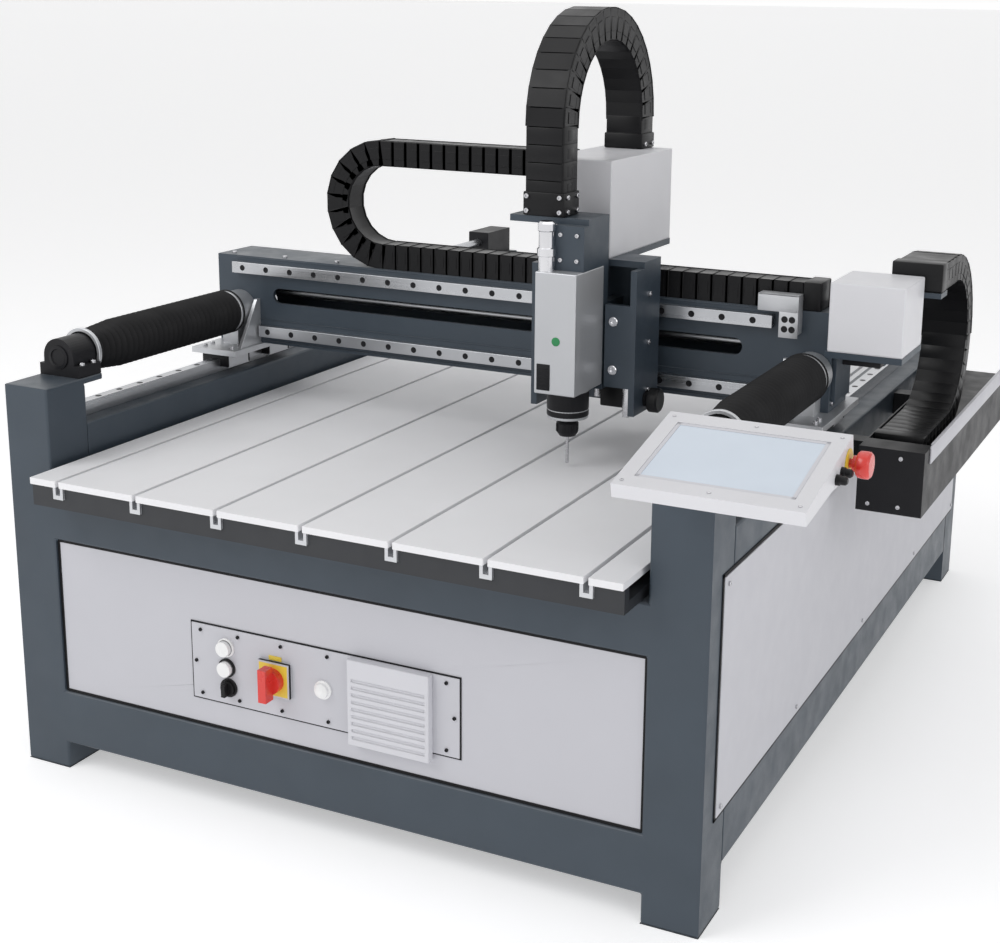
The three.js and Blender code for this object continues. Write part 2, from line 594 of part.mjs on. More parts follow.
function addGantry() {
  add('gantry_beam', gantryBeam(), PAINT);
  add('left_foot', gantryFoot(-1), ALUMINIUM);
  add('right_foot', gantryFoot(1), ALUMINIUM);
  const railY = [GANTRY_Y - X_RAIL_DEPTH, GANTRY_Y];
  const upperX = [BEAM_X[0] + UPPER_RAIL_INSET[0], BEAM_X[1] - UPPER_RAIL_INSET[1]];
  add('upper_x_rail', block(upperX, railY, [UPPER_RAIL_Z, UPPER_RAIL_Z + RAIL_WIDTH]), STEEL);
  const lowerX = [LOWER_RAIL_INSET - INNER, INNER - LOWER_RAIL_INSET];
  add('lower_x_rail', block(lowerX, railY, [LOWER_RAIL_Z, LOWER_RAIL_Z + RAIL_WIDTH]), STEEL);
  const screwX = [BEAM_X[0] + 4, BEAM_X[1] - 1];
  const screwMid = [(screwX[0] + screwX[1]) / 2, X_SCREW_Y, X_SCREW_Z];
  add('x_screw', rod('x', SCREW_RADIUS, screwX[1] - screwX[0], screwMid), STEEL);
  add('x_motor_bracket', xMotorBracket(), PAINT);
  addXMotor();
  const anchor = BEAM_X[1] - 30;
  const points = chainOutline(anchor, Z_COVER_X[0], -280, BEAM_Z[1], X_CHAIN_TOP, X_CHAIN_HEIGHT, -1);
  add('x_drag_chain', alongY(outline(points), X_CHAIN_Y), BLACK);
}

// Carriage
function guideBlocks() {
  const railMiddles = [UPPER_RAIL_Z, LOWER_RAIL_Z].map((z) => z + RAIL_WIDTH / 2);
  const blocks = [];
  for (const span of eitherSide(SPINDLE_X, X_BLOCK_SPAN)) {
    for (const z of railMiddles) {
      blocks.push(block(span, [HOUSING_BACK[1] - 1, GANTRY_Y - 3], about(z, X_BLOCK_HALF_HEIGHT)));
    }
  }
  for (const span of eitherSide(SPINDLE_X, Z_BLOCK_SPAN)) {
    for (const bottom of [GUIDE_Z[0], GUIDE_Z[1] - GUIDE_BLOCK_HEIGHT]) {
      const z = [bottom, bottom + GUIDE_BLOCK_HEIGHT];
      blocks.push(block(span, [Z_RAIL_FACE + SEAT_GAP, HOUSING_BACK[0] + 1], z));
    }
  }
  return blocks;
}

function carriageHousing() {
  const [left, right] = HOUSING_X;
  const back = block(HOUSING_X, HOUSING_BACK, HOUSING_Z);
  const wallY = [HOUSING_FRONT, HOUSING_BACK[0]];
  const walls = [[left, left + HOUSING_WALL], [right - HOUSING_WALL, right]].map((x) => (
    block(x, wallY, HOUSING_Z)));
  const flangeY = [HOUSING_FRONT, HOUSING_FRONT + HOUSING_WALL];
  const flanges = [[left, left + FLANGE_WIDTH], [right - FLANGE_WIDTH, right]].map((x) => (
    block(x, flangeY, GUIDE_Z)));
  const shelf = block([Z_COVER_X[0], right], [SHELF_FRONT, HOUSING_BACK[1]], SHELF_Z);
  const coverFloor = block(Z_COVER_X, [SHELF_FRONT, Z_COVER_Y[1]], SHELF_Z);
  const armX = about(SPINDLE_X, NUT_ARM_HALF[0]);
  const arm = block(armX, [HOUSING_BACK[1] - 1, X_SCREW_Y], about(X_SCREW_Z, NUT_ARM_HALF[1]));
  const nut = rod('x', X_NUT_RADIUS, X_NUT_LENGTH, [SPINDLE_X, X_SCREW_Y, X_SCREW_Z]);
  const channelY = [GANTRY_Y - X_RAIL_DEPTH - SEAT_GAP, GANTRY_Y + 1];
  const channels = [UPPER_RAIL_Z, LOWER_RAIL_Z].map((z) => (
    block([left - 36, right + 54], channelY, [z - SEAT_GAP, z + RAIL_WIDTH + SEAT_GAP])));
  const bore = rod('x', SCREW_BORE, 2 * X_NUT_LENGTH, [SPINDLE_X, X_SCREW_Y, X_SCREW_Z]);
  const zBore = rod('z', Z_SCREW_BORE, 60, [SPINDLE_X, Z_SCREW_Y, (SHELF_Z[0] + SHELF_Z[1]) / 2]);
  const body = join(back, ...walls, ...flanges, shelf, coverFloor, ...guideBlocks(), arm, nut);
  return cut(body, ...channels, bore, zBore);
}

function addCarriage() {
  add('carriage_housing', carriageHousing(), PAINT);
  const bottom = SHELF_Z[1];
  const inset = (span) => [span[0] + SKIN, span[1] - SKIN];
  const cover = block(Z_COVER_X, Z_COVER_Y, [bottom, Z_COVER_TOP]);
  const inside = block(inset(Z_COVER_X), inset(Z_COVER_Y), [bottom - 1, Z_COVER_TOP - SKIN]);
  add('z_motor_cover', cut(cover, inside), COVER);
  const motorX = about(SPINDLE_X, Z_MOTOR_HALF);
  const motorY = about(Z_SCREW_Y, Z_MOTOR_HALF);
  add('z_motor', block(motorX, motorY, [bottom, bottom + Z_MOTOR_HEIGHT]), BLACK);
  const screwMid = (Z_SCREW_SPAN[0] + Z_SCREW_SPAN[1]) / 2;
  const screwLength = Z_SCREW_SPAN[1] - Z_SCREW_SPAN[0];
  add('z_screw', rod('z', Z_SCREW_RADIUS, screwLength, [SPINDLE_X, Z_SCREW_Y, screwMid]), STEEL);
  const points = chainOutline(Z_COVER_TOP, Z_PLATE_Z[1], 1214, 844, CHAIN_BRACKET_FRONT, Z_CHAIN_HEIGHT, 1);
  const swapped = points.map(([z, y]) => [y, z]).reverse();
  add('z_drag_chain', alongX(outline(swapped), Z_CHAIN_X), BLACK);
}

// Spindle unit
function zPlate() {
  const x = SPINDLE_SIDES;
  const back = SPINDLE_BACK + Z_PLATE_THICK;
  const plate = block(x, [SPINDLE_BACK, back], Z_PLATE_Z);
  const rails = eitherSide(SPINDLE_X, Z_RAIL_SPAN).map((span) => (
    block(span, [back - 1, Z_RAIL_FACE], [Z_PLATE_Z[0], Z_RAIL_TOP])));
  const nut = block(about(SPINDLE_X, Z_NUT_HALF), [back - 1, Z_NUT_BACK], Z_NUT_Z);
  const bracketZ = [Z_PLATE_Z[1] - SHELF_THICK, Z_PLATE_Z[1]];
  const bracket = block([CHAIN_BRACKET_LEFT, x[1]], [CHAIN_BRACKET_FRONT, back], bracketZ);
  const fanY = [SPINDLE_FRONT + FAN_SETBACK, SPINDLE_BACK + 1];
  const fanHousing = block([x[0] + FAN_INSET, x[1]], fanY, [SPINDLE_Z[1], bracketZ[0] + 1]);
  const bore = rod('z', Z_SCREW_BORE, 60, [SPINDLE_X, Z_SCREW_Y, (Z_NUT_Z[0] + Z_NUT_Z[1]) / 2]);
  return cut(join(plate, ...rails, nut, bracket, fanHousing), bore);
}

function addSpindle() {
  add('z_plate', zPlate(), PAINT);
  const noseTop = SPINDLE_Z[0];
  const nose = rod('z', NOSE_RADIUS, NOSE_LENGTH, [SPINDLE_X, AXIS_Y, noseTop - NOSE_LENGTH / 2], 40);
  const body = block(SPINDLE_SIDES, [SPINDLE_FRONT, SPINDLE_BACK], SPINDLE_Z);
  add('spindle_body', join(body, nose), ALUMINIUM);
  const colletTop = noseTop - NOSE_LENGTH - SEAT_GAP;
  const collet = rod('z', COLLET_RADIUS, COLLET_LENGTH, [SPINDLE_X, AXIS_Y, colletTop - COLLET_LENGTH / 2]);
  const cutterBore = rod('z', CUTTER_RADIUS, 30, [SPINDLE_X, AXIS_Y, CUTTER_TOP - 10], 16);
  add('collet_nut', cut(collet, cutterBore), STEEL);
  const cutterMid = (CUTTER_TOP + CUTTER_TIP) / 2;
  const cutter = rod('z', CUTTER_RADIUS, CUTTER_TOP - CUTTER_TIP, [SPINDLE_X, AXIS_Y, cutterMid], 16);
  add('milling_cutter', cutter, STEEL);
}

// Pendant, tilted about its front lower edge
function addPendant() {
  const width = 283;
  const depth = 232;
  const thick = 22;
  const origin = [INNER - 2, -150, 757];
  const tilt = Math.atan2(52, 226);
  const backDrop = 40;
  const bend = 120;
  const bendDrop = 12;
  const group = new THREE.Group();
  group.position.set(...origin);
  group.rotation.x = tilt;
  machine.add(group);
  const profile = outline([[0, 0], [bend, -bendDrop], [depth, -backDrop], [depth, thick], [0, thick]]);
  const rim = 24;
  const recessFloor = thick - 5;
  const recess = block([rim, width - rim], [rim + 6, depth - rim - 6], [recessFloor, thick + 1]);
  const stop = [width, 205, -10];
  const estopBore = rod('x', 7, 40, [stop[0] - 5, stop[1], stop[2]]);
  add('pendant_housing', cut(alongX(profile, [0, width]), recess, estopBore), COVER, group);
  const gap = rim + SEAT_GAP;
  const screenZ = [recessFloor + SEAT_GAP, thick - 1.5];
  add('pendant_screen', block([gap, width - gap], [gap + 6, depth - gap - 6], screenZ), GLASS, group);
  const stem = rod('x', 6.5, 22, [stop[0] + 1, stop[1], stop[2]]);
  const neck = rod('x', 13, 14, [stop[0] + 14, stop[1], stop[2]]);
  const head = rod('x', 20, 16, [stop[0] + 27, stop[1], stop[2]], 36);
  add('estop_button', join(stem, neck, head), RED, group);
  const underside = (along) => {
    const drop = bendDrop + (backDrop - bendDrop) * (along - bend) / (depth - bend) + SEAT_GAP;
    return [
      origin[1] + along * Math.cos(tilt) + drop * Math.sin(tilt),
      origin[2] + along * Math.sin(tilt) - drop * Math.cos(tilt),
    ];
  };
  const front = underside(165);
  const back = underside(depth - 8);
  const pedestal = outline([[front[0], POST_TOP], [back[0], POST_TOP], back, front]);
  add('pendant_bracket', alongX(pedestal, [INNER + 20, INNER + 80]), PAINT);
}

addFrame();
addBed();
addControls();
addYDrive();
addTray();
addGantry();
addCarriage();
addSpindle();
addPendant();

// The origin is the middle of the machine's box, on the floor
machine.updateMatrixWorld(true);
const extent = new THREE.Box3().setFromObject(machine);
const centre = extent.getCenter(new THREE.Vector3());
machine.position.set(-Math.round(centre.x), -Math.round(centre.y), 0);
machine.updateMatrixWorld(true);

export default machine;
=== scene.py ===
import math
import bmesh
import bpy
from mathutils import Matrix, Vector


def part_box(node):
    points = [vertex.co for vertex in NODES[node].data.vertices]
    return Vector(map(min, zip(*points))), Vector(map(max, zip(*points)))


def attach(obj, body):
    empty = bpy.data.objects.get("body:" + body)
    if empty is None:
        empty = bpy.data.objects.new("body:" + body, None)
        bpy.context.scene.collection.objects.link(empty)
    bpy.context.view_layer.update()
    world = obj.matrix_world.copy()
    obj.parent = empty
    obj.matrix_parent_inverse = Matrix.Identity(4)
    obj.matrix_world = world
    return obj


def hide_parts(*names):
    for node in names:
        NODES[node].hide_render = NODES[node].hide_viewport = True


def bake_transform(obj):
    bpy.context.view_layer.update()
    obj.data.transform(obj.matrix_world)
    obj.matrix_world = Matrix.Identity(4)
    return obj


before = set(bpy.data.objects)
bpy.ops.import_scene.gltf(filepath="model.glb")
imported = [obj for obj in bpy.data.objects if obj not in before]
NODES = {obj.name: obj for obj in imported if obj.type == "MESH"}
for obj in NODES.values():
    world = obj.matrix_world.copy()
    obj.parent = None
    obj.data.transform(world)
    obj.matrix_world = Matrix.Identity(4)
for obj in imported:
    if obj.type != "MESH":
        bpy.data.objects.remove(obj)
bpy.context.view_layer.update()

MM = 0.001
FRONT_LOW, FRONT_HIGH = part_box("front_frame")
MIDDLE_X = (FRONT_LOW.x + FRONT_HIGH.x) / 2
FRONT_Y = FRONT_LOW.y

# Places and sizes in mm, measured from the front frame's middle on the floor
SCREW_X, SCREW_Z = 635, 776
BELLOWS_Y = (152, 599)
BEARING_FACE_Y = 90
HOLE_PITCH = 60
X_RAIL_FACE_Y = 632
UPPER_RAIL_Z, LOWER_RAIL_Z = 866, 732
Y_RAIL_TOP_Z = 681
BEAM_FACE_Y = 647
BEAM_TOP_Z = 890
FOOT_TOP_Z = 704
HOUSING_FRONT_Y = 500
HOUSING_RIGHT_X = 346
SPINDLE_FACE_Y = 380
SPINDLE_TOP_Z = 966
TOOL_AXIS = (241, 440)
NOSE_BOTTOM_Z = 692.4
COLLET_BOTTOM_Z = 657.3
PLATE_FACE_Y = 3
SIDE_SHEET_X = 688
TRAY_FRONT_Y = 600


def place(x, y, z):
    """A point measured in mm from the front frame's middle on the floor, in the row frame."""
    return Vector((MIDDLE_X + x * MM, FRONT_Y + y * MM, z * MM))


# ---------------------------------------------------------------- materials

def nodes_of(material):
    material.use_nodes = True
    tree = material.node_tree
    return tree, tree.nodes["Principled BSDF"]


def math_node(tree, operation, a, b=0.0):
    node = tree.nodes.new("ShaderNodeMath")
    node.operation = operation
    for socket, value in ((node.inputs[0], a), (node.inputs[1], b)):
        if isinstance(value, (int, float)):
            socket.default_value = value
        else:
            tree.links.new(value, socket)
    return node.outputs[0]


def mixed(tree, factor, first, second):
    node = tree.nodes.new("ShaderNodeMix")
    node.data_type = "RGBA"
    tree.links.new(factor, node.inputs["Factor"])
    for socket, value in ((node.inputs["A"], first), (node.inputs["B"], second)):
        if hasattr(value, "links"):
            tree.links.new(value, socket)
        else:
            socket.default_value = (*value, 1)
    return node.outputs["Result"]


def noise(tree, scale, detail=3.0, stretch=(1, 1, 1)):
    coords = tree.nodes.new("ShaderNodeTexCoord")
    mapping = tree.nodes.new("ShaderNodeMapping")
    mapping.inputs["Scale"].default_value = stretch
    texture = tree.nodes.new("ShaderNodeTexNoise")
    texture.inputs["Scale"].default_value = scale
    texture.inputs["Detail"].default_value = detail
    tree.links.new(coords.outputs["Object"], mapping.inputs["Vector"])
    tree.links.new(mapping.outputs["Vector"], texture.inputs["Vector"])
    return texture.outputs["Fac"]


def spread(tree, value, low, high):
    node = tree.nodes.new("ShaderNodeMapRange")
    node.inputs["From Min"].default_value = 0.3
    node.inputs["From Max"].default_value = 0.7
    node.inputs["To Min"].default_value = low
    node.inputs["To Max"].default_value = high
    tree.links.new(value, node.inputs["Value"])
    return node.outputs["Result"]


ROUGHNESS_SPREAD = 0.07
BUMP_DISTANCE = 0.0006


def finish(name, colour, rough, metal=0.0, grain=900, bump=0.12, mottle=0.06, stretch=(1, 1, 1), coat=0.0,
           specular=0.5):
    """A surface with mottled colour, uneven gloss and a fine bumpy grain."""
    material = bpy.data.materials.new(name)
    tree, shader = nodes_of(material)
    dark = tuple(c * (1 - mottle) for c in colour)
    light = tuple(min(1, c * (1 + mottle)) for c in colour)
    cloud = spread(tree, noise(tree, 7, 5), 0, 1)
    tree.links.new(mixed(tree, cloud, dark, light), shader.inputs["Base Color"])
    gloss = spread(tree, noise(tree, 23, 4, stretch), rough - ROUGHNESS_SPREAD, rough + ROUGHNESS_SPREAD)
    tree.links.new(gloss, shader.inputs["Roughness"])
    shader.inputs["Metallic"].default_value = metal
    shader.inputs["Coat Weight"].default_value = coat
    shader.inputs["Specular IOR Level"].default_value = specular
    lump = tree.nodes.new("ShaderNodeBump")
    lump.inputs["Strength"].default_value = bump
    lump.inputs["Distance"].default_value = BUMP_DISTANCE
    tree.links.new(noise(tree, grain, 2, stretch), lump.inputs["Height"])
    tree.links.new(lump.outputs["Normal"], shader.inputs["Normal"])
    return material


def pale_on_upward_faces(material, low, high, amount, pale_tint=(0.55, 0.52, 0.47)):
    """Mixes a little pale tan into the colour of upward faces, broken up by noise."""
    tree, shader = nodes_of(material)
    base = shader.inputs["Base Color"].links[0].from_socket
    geometry = tree.nodes.new("ShaderNodeNewGeometry")
    split = tree.nodes.new("ShaderNodeSeparateXYZ")
    tree.links.new(geometry.outputs["True Normal"], split.inputs["Vector"])
    upward = math_node(tree, "MAXIMUM", split.outputs["Z"], 0)
    patch = spread(tree, noise(tree, 14, 6), low, high)
    factor = math_node(tree, "MULTIPLY", math_node(tree, "MULTIPLY", upward, patch), amount)
    tree.links.new(mixed(tree, factor, base, pale_tint), shader.inputs["Base Color"])
    return material


TRACK_PITCH = 0.170
TRACK_HALF = 0.0112
TRACK_BOTTOM_Z = 0.5635


def slotted_bed(name, track_pitch, track_half):
    """Black under-board with bare aluminium where the tracks run."""
    material = finish(name, (0.02, 0.022, 0.026), 0.5, grain=500)
    tree, shader = nodes_of(material)
    base = shader.inputs["Base Color"].links[0].from_socket
    coords = tree.nodes.new("ShaderNodeTexCoord")
    split = tree.nodes.new("ShaderNodeSeparateXYZ")
    tree.links.new(coords.outputs["Object"], split.inputs["Vector"])
    shifted = math_node(tree, "ADD", split.outputs["X"], track_pitch / 2 - MIDDLE_X + 10 * track_pitch)
    across = math_node(tree, "FLOORED_MODULO", shifted, track_pitch)
    off = math_node(tree, "ABSOLUTE", math_node(tree, "SUBTRACT", across, track_pitch / 2))
    inside = math_node(tree, "LESS_THAN", off, track_half)
    high = math_node(tree, "GREATER_THAN", split.outputs["Z"], TRACK_BOTTOM_Z)
    track = math_node(tree, "MULTIPLY", inside, high)
    tree.links.new(mixed(tree, track, base, (0.60, 0.61, 0.63)), shader.inputs["Base Color"])
    tree.links.new(track, shader.inputs["Metallic"])
    return material


PAINT = pale_on_upward_faces(finish("frame_paint", (0.045, 0.061, 0.080), 0.42, 0.15, 1100, 0.18, 0.08), 0.0, 1.0, 0.10)
SHEET = finish("panel_sheet", (0.56, 0.56, 0.60), 0.46, 0.0, 1400, 0.12, 0.008)
BOARD = finish("bed_board", (0.86, 0.86, 0.88), 0.55, 0.0, 700, 0.10, 0.015)
BED_METAL = slotted_bed("bed_metal", TRACK_PITCH, TRACK_HALF)
STEEL_X = finish("steel_ground_x", (0.50, 0.51, 0.53), 0.28, 0.95, 260, 0.2, 0.08, (0.03, 1, 1))
STEEL_Y = finish("steel_ground_y", (0.50, 0.51, 0.53), 0.28, 0.95, 260, 0.2, 0.08, (1, 0.03, 1))
STEEL = finish("steel_turned", (0.55, 0.55, 0.57), 0.25, 1.0, 400, 0.15, 0.06, (1, 1, 6))
ALUMINIUM = finish("aluminium", (0.56, 0.57, 0.59), 0.4, 0.65, 500, 0.12, 0.04)
SILVER = finish("spindle_silver", (0.52, 0.53, 0.55), 0.4, 0.55, 600, 0.10, 0.03, (1, 1, 0.05))
CHROME = finish("chrome", (0.75, 0.75, 0.77), 0.14, 1.0, 200, 0.02, 0.02)
BLACK_METAL = finish("black_metal", (0.010, 0.010, 0.012), 0.42, 0.0, 800, 0.2, 0.15, specular=0.22)
pale_on_upward_faces(BLACK_METAL, 0, 1, 0.015)
BLACK = finish("black_plastic", (0.008, 0.008, 0.009), 0.36, 0.0, 650, 0.25, 0.2, specular=0.22)
pale_on_upward_faces(BLACK, 0, 1, 0.012)
RUBBER = finish("black_rubber", (0.008, 0.008, 0.009), 0.55, 0.0, 420, 0.35, 0.2, specular=0.18)
pale_on_upward_faces(RUBBER, 0, 1, 0.010)
COVER = finish("cover_paint", (0.74, 0.74, 0.77), 0.42, 0.0, 1500, 0.12, 0.015)
FILTER = finish("filter_plastic", (0.66, 0.66, 0.70), 0.5, 0.0, 900, 0.12, 0.02)
RED = finish("red_plastic", (0.70, 0.035, 0.025), 0.28, 0.0, 500, 0.05, 0.05, coat=0.3)
YELLOW = finish("yellow_plate", (0.80, 0.60, 0.06), 0.4, 0.0, 600, 0.06, 0.03)
WHITE = finish("white_plastic", (0.88, 0.88, 0.88), 0.28, 0.0, 500, 0.04, 0.02, coat=0.2)
SCREEN = finish("screen_face", (0.66, 0.74, 0.84), 0.12, 0.0, 300, 0.01, 0.03, coat=0.5)
GREEN = finish("green_dot", (0.02, 0.25, 0.08), 0.4, 0.0, 500, 0.05, 0.05)

CAD_LOOKS = {
    PAINT: ["front_frame", "rear_frame", "left_lower_beam", "right_lower_beam", "left_rail_beam",
            "right_rail_beam", "pendant_bracket", "gantry_beam", "x_motor_bracket", "carriage_housing",
            "z_plate"],
    SHEET: ["left_side_panel", "right_side_panel", "front_panel", "rear_panel", "control_plate"],
    BOARD: [f"bed_plank_{i}" for i in range(1, 9)],
    BED_METAL: ["bed_frame"],
    STEEL_Y: ["left_y_rail", "right_y_rail", "left_y_screw", "right_y_screw"],
    STEEL_X: ["upper_x_rail", "lower_x_rail", "x_screw"],
    STEEL: ["z_screw", "milling_cutter"],
    ALUMINIUM: ["left_foot", "right_foot"],
    SILVER: ["spindle_body"],
    BLACK_METAL: ["left_front_bearing", "right_front_bearing", "left_y_motor", "right_y_motor", "x_motor",
                  "z_motor", "chain_tray"],
    COVER: ["x_motor_cover", "z_motor_cover", "pendant_housing"],
    FILTER: ["filter_cover"],
    RED: ["switch_knob"],
    SCREEN: ["pendant_screen"],
    BLACK: ["selector_knob"],
    WHITE: ["power_button", "start_button"],
}
ROUNDING = {"front_frame": 7, "rear_frame": 7, "left_rail_beam": 5, "right_rail_beam": 5,
            "left_lower_beam": 5, "right_lower_beam": 5, "x_motor_cover": 5, "z_motor_cover": 5,
            "pendant_housing": 6, "gantry_beam": 3,
            "filter_cover": 2.5, "spindle_body": 3, "switch_knob": 2.5}
FINE_ROUNDING = 0.8


def soften(obj, width_mm, segments=3):
    weld = obj.modifiers.new("weld", "WELD")
    weld.merge_threshold = 0.00002
    bevel = obj.modifiers.new("bevel", "BEVEL")
    bevel.width = width_mm * MM
    bevel.segments = segments
    bevel.limit_method = "ANGLE"
    bevel.angle_limit = math.radians(40)
    bevel.harden_normals = True


def dress_cad():
    for material, names in CAD_LOOKS.items():
        for name in names:
            obj = NODES[name]
            obj.data.materials.clear()
            obj.data.materials.append(material)
            for polygon in obj.data.polygons:
                polygon.material_index = 0
            soften(obj, ROUNDING.get(name, FINE_ROUNDING), 3 if name in ROUNDING else 2)


# ---------------------------------------------------------------- mesh helpers

AXIS_TURN = {
    "x": Matrix.Rotation(math.radians(90), 4, "Y"),
    "y": Matrix.Rotation(math.radians(-90), 4, "X"),
    "z": Matrix.Identity(4),
    "-x": Matrix.Rotation(math.radians(-90), 4, "Y"),
    "-y": Matrix.Rotation(math.radians(90), 4, "X"),
}


def brick(bm, x, y, z, round_mm=0.0, transform=None):
    """A block between mm limits, with its edges rounded, added to bm."""
    made = bmesh.ops.create_cube(bm, size=1.0)["verts"]
    low, high = Vector((x[0], y[0], z[0])), Vector((x[1], y[1], z[1]))
    for vert in made:
        local = Vector([low[i] + (vert.co[i] + 0.5) * (high[i] - low[i]) for i in range(3)])
        vert.co = transform @ local if transform else place(*local)
    if round_mm:
        edges = list({edge for vert in made for edge in vert.link_edges})
        bmesh.ops.bevel(bm, geom=edges, offset=round_mm * MM, segments=2, profile=0.5, affect="EDGES")


def lathe(bm, profile, centre, axis, sides=32):
    """Turns a (radius, along) profile in mm about an axis through centre, a point of the row frame."""
    turn = Matrix.Translation(centre) @ AXIS_TURN[axis]
    loops = []
    for radius, along in profile:
        if radius <= 0:
            loops.append([bm.verts.new(turn @ Vector((0, 0, along * MM)))])
            continue
        loop = []
        for i in range(sides):
            angle = 2 * math.pi * i / sides
            loop.append(bm.verts.new(turn @ Vector((
                radius * MM * math.cos(angle), radius * MM * math.sin(angle), along * MM))))
        loops.append(loop)
    for a, b in zip(loops, loops[1:]):
        for i in range(sides):
            j = (i + 1) % sides
            corners = [a[i % len(a)], a[j % len(a)], b[j % len(b)], b[i % len(b)]]
            bm.faces.new(list(dict.fromkeys(corners)))


def piece(name, bm, material, body=None, smooth=35):
    bmesh.ops.recalc_face_normals(bm, faces=bm.faces)
    mesh = bpy.data.meshes.new(name)
    bm.to_mesh(mesh)
    bm.free()
    obj = bpy.data.objects.new(name, mesh)
    bpy.context.scene.collection.objects.link(obj)
    mesh.materials.append(material)
    for polygon in mesh.polygons:
        polygon.use_smooth = True
    mesh.set_sharp_from_angle(angle=math.radians(smooth))
    if body:
        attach(obj, body)
    return obj


BOLT = [(0, 0), (1, 0), (1, 0.75), (0.88, 0.9), (0.5, 0.9), (0.42, 0.45), (0, 0.45)]


def bolts(name, spots, radius, axis, body, material=None):
    """Socket-head bolts in one piece, each at a point in mm, its head standing along axis."""
    bm = bmesh.new()
    for spot in spots:
        lathe(bm, [(r * radius, s * radius) for r, s in BOLT], place(*spot), axis, 14)
    return piece(name, bm, material or STEEL, body)


# ---------------------------------------------------------------- bellows

def sleeve(name, side, screw_x, screw_z, front, back):
    """A corrugated sleeve from the front bearing to the screw nut, narrower near the front."""
    folds = 30
    steps = 6
    near_radius = 38
    swelling = 8.5
    ridge_depth = 3.6
    bore = 15
    profile = []
    for i in range(folds * steps + 1):
        t = i / (folds * steps)
        swell = near_radius + swelling * min(1, t * 5)
        ridge = ridge_depth * math.cos(2 * math.pi * i / steps)
        profile.append((swell + ridge - ridge_depth, t * (back - front)))
    closed = [(bore, 0), *profile, (bore, back - front), (bore, 0)]
    bm = bmesh.new()
    lathe(bm, closed, place(side * screw_x, front, screw_z), "y", 40)
    bmesh.ops.remove_doubles(bm, verts=bm.verts, dist=0.00001)
    obj = piece(name, bm, RUBBER, smooth=60)
    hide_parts(f"{name.split('_')[0]}_bellows")
    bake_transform(obj)


def clamp_ring(name, spot, body):
    bm = bmesh.new()
    outline = [(38, 0), (43, 0), (44, 1), (44, 7), (43, 8), (38, 8), (38, 0)]
    lathe(bm, outline, place(*spot), "y", 40)
    piece(name, bm, ALUMINIUM, body)


def build_bellows():
    front, back = BELLOWS_Y
    cap = [(0, 0), (22, 0), (22, 2), (16, 3), (15, 1), (0, 1)]
    for side, word in ((-1, "left"), (1, "right")):
        sleeve(f"{word}_sleeve", side, SCREW_X, SCREW_Z, front, back)
        clamp_ring(f"{word}_front_clamp", (side * SCREW_X, 150.5, SCREW_Z), "machine_base")
        clamp_ring(f"{word}_rear_clamp", (side * SCREW_X, 591.5, SCREW_Z), "gantry")
        spots = [(side * SCREW_X + dx, y, 762) for dx in (-41, 41) for y in (105, 135)]
        bolts(f"{word}_bearing_bolts", spots, 5.5, "z", "machine_base")
        bm = bmesh.new()
        lathe(bm, cap, place(side * SCREW_X, BEARING_FACE_Y, SCREW_Z), "-y", 32)
        piece(f"{word}_bearing_cap", bm, BLACK_METAL, "machine_base")


# ---------------------------------------------------------------- drag chains

def link_body(bm, at, along, up, length, height, width):
    """One link: two side plates, an outer lid and an inner bar, around a local frame (along, across, up)."""
    across = up.cross(along).normalized()
    base = Matrix((
        (along.x, across.x, up.x, at.x),
        (along.y, across.y, up.y, at.y),
        (along.z, across.z, up.z, at.z),
        (0, 0, 0, 1))) @ Matrix.Scale(MM, 4)
    half = width / 2
    overlap = 4
    for side in (-1, 1):
        plate = sorted((side * half, side * (half - 5)))
        brick(bm, (-length / 2 - overlap, length / 2 - 0.6), plate, (1, height - 1), 1.4, base)
        boss = sorted((side * (half - 1), side * (half + 0.4)))
        brick(bm, (-length / 2 + 5, length / 2 - 7), boss, (height * 0.28, height * 0.72), 0.5, base)
    brick(bm, (-length / 2 + 0.5, length / 2 - 0.5), (-half + 3, half - 3), (0, 4.5), 1.2, base)
    lid = (height - 4.5, height - 0.5)
    brick(bm, (-length / 2 - 2, length / 2 - 0.8), (-half + 3, half - 3), lid, 1, base)


def chain_run(bm, start, end, outer_side, height, width, pitch):
    """Links along a straight stretch; start and end lie on the chain's outer face."""
    span = (end - start).length / MM
    count = max(1, round(span / pitch))
    along = (end - start).normalized()
    for i in range(count):
        at = start + (end - start) * ((i + 0.5) / count)
        link_body(bm, at, along, outer_side, span / count, height, width)


def chain_turn(bm, centre, first, second, radius, height, width, pitch):
    """Links round the half turn from direction first, through second, to the far side."""
    count = max(6, round(math.pi * (radius - height / 2) / pitch))
    for i in range(count):
        angle = math.pi * (i + 0.5) / count
        outward = first * math.cos(angle) + second * math.sin(angle)
        along = -first * math.sin(angle) + second * math.cos(angle)
        length = 2 * (radius - height * 0.35) * math.tan(math.pi / count / 2)
        link_body(bm, centre + outward * (radius * MM), along, -outward, length, height, width)


def drag_chain(name, node, centre, first, second, radius, height, width, fixed, moving, pitch=30):
    """fixed and moving are the two straight runs' lengths in mm, measured back from the turn."""
    fixed_side, moving_side = centre + first * radius * MM, centre - first * radius * MM
    fixed_end = fixed_side - second * fixed * MM
    moving_end = moving_side - second * moving * MM
    bm = bmesh.new()
    chain_run(bm, fixed_end, fixed_side, -first, height, width, pitch)
    run = piece(f"{name}_fixed_run", bm, BLACK)
    bm = bmesh.new()
    chain_turn(bm, centre, first, second, radius, height, width, pitch)
    turn = piece(f"{name}_turn", bm, BLACK)
    bm = bmesh.new()
    chain_run(bm, moving_side, moving_end, first, height, width, pitch)
    lead = piece(f"{name}_moving_run", bm, BLACK)
    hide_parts(node)
    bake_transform(run)
    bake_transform(turn)
    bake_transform(lead)


